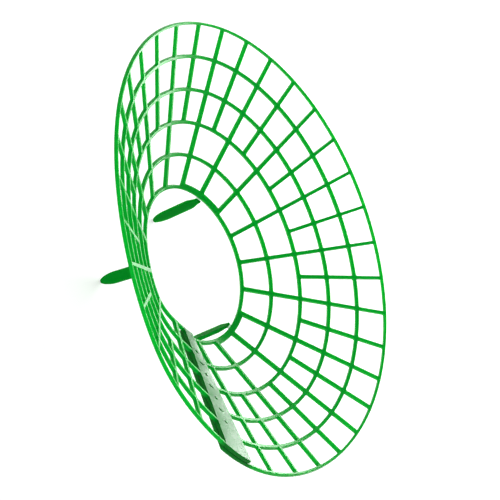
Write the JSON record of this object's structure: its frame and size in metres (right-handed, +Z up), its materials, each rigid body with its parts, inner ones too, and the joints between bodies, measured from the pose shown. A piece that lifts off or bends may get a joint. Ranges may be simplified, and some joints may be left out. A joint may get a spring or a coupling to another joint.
{
  "type": "plant support ring",
  "caption": "Green plastic plant support: a mesh sheet bent into a wide cone and snapped to itself along an overlapped strip, standing on tongue legs that fold on film hinges.",
  "frame": {"origin": "centre of the part's box, on the ground plane that the three leg tips stand on", "axes": "+Z up, out of the wide end of the cone; -Y towards the overlapped closure"},
  "size_m": [0.299, 0.3062, 0.1008],
  "materials": {
    "panel_green": "semi-gloss moulded",
    "leg_green": "semi-gloss moulded"
  },
  "bodies": {
    "panel": {"lattice_panel": "panel_green"},
    "left_leg": {"leg_left": "leg_green"},
    "rear_leg": {"leg_rear": "leg_green"},
    "right_leg": {"leg_right": "leg_green"}
  },
  "joints": [
    {"name": "left_leg_fold", "type": "hinge", "parent": "panel", "child": "left_leg", "pos_m": [-0.04201, -0.02307, 0.03851], "axis": [0.5004, -0.8657, -0.0113], "range_deg": [-4, 64]},
    {"name": "rear_leg_fold", "type": "hinge", "parent": "panel", "child": "rear_leg", "pos_m": [0.00077, 0.05251, 0.03846], "axis": [-0.9999, -0.0014, -0.015], "range_deg": [-16, 55]},
    {"name": "right_leg_fold", "type": "hinge", "parent": "panel", "child": "right_leg", "pos_m": [0.04411, -0.02394, 0.03838], "axis": [0.5096, 0.86, 0.0263], "range_deg": [-4, 66]}
  ]
}
